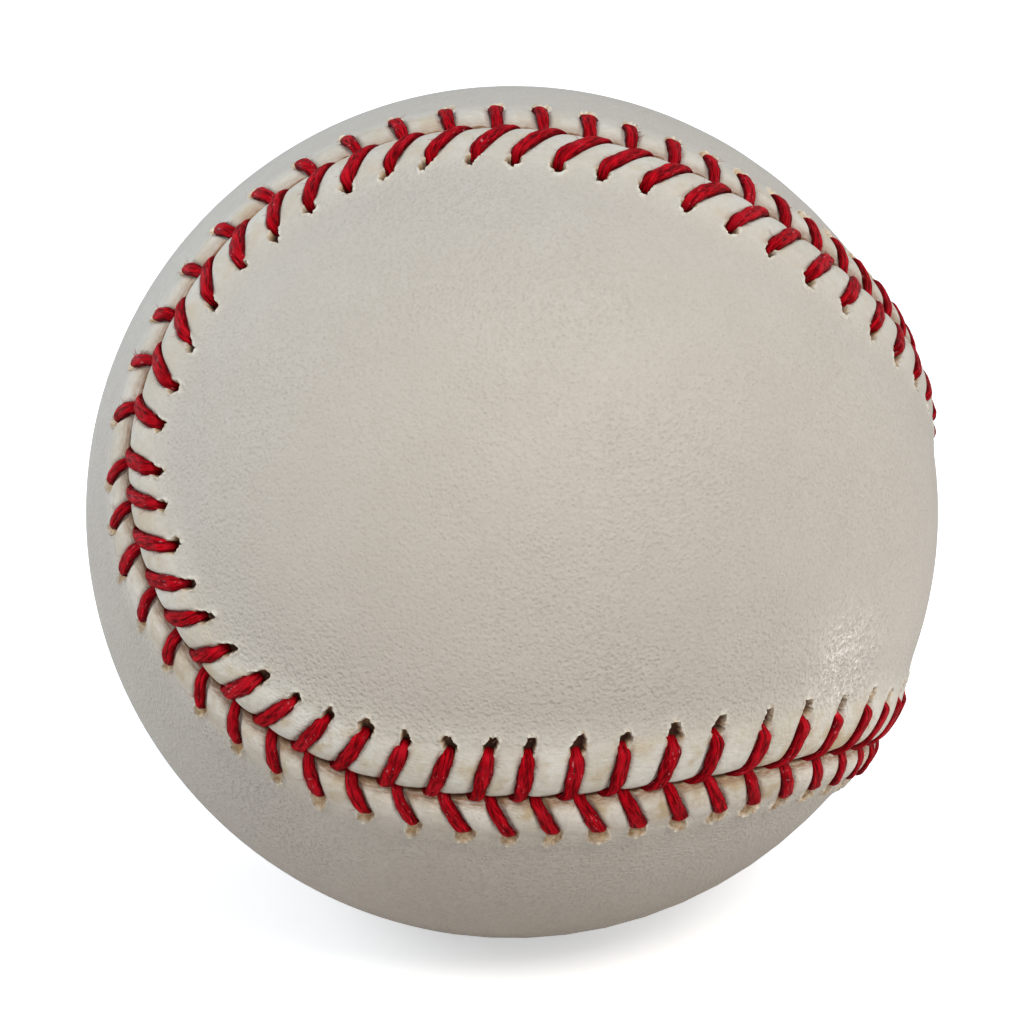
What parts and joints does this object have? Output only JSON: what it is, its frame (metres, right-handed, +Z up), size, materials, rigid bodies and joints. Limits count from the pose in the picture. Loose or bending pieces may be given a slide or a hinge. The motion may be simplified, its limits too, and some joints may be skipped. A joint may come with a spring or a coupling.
{
  "type": "baseball",
  "caption": "Hand-sewn ball: white two-panel leather cover laced with raised red stitching over wound yarn and a cork and rubber core, for throwing, batting and catching.",
  "frame": {"origin": "centre of the ball, where all of its layers are centred", "axes": "+Z up with the ball resting on smooth leather at its lowest point; -Y is the side the picture shows, the broad end of panel A; +X is where that panel's waist leads off; the seam itself is rolled -22.4, 11.7 and 8 degrees about X, Y and Z from its own symmetry axes"},
  "size_m": [0.0759, 0.0749, 0.0746],
  "materials": {
    "cork": "compressed cork granules, matt",
    "black_rubber": "moulded, matt",
    "red_rubber": "moulded, matt",
    "grey_wool": "tightly wound yarn",
    "white_wool": "tightly wound yarn",
    "finishing_yarn": "fine cotton and polyester yarn, tightly wound",
    "cement": "dried rubber cement",
    "leather": "white tanned cowhide, fine grain, satin",
    "red_thread": "waxed cotton thread, laid flat"
  },
  "bodies": {
    "root": {"cork_core": "cork", "black_shell_upper": "black_rubber", "black_shell_lower": "black_rubber", "washer_upper": "red_rubber", "washer_lower": "red_rubber", "red_rubber_layer": "red_rubber", "grey_wool_inner": "grey_wool", "white_wool": "white_wool", "grey_wool_outer": "grey_wool", "finishing_yarn": "finishing_yarn", "cement_coat": "cement", "cover_panel_a": "leather", "cover_panel_b": "leather", "seam_thread_a": "red_thread", "seam_thread_b": "red_thread"}
  },
  "joints": []
}
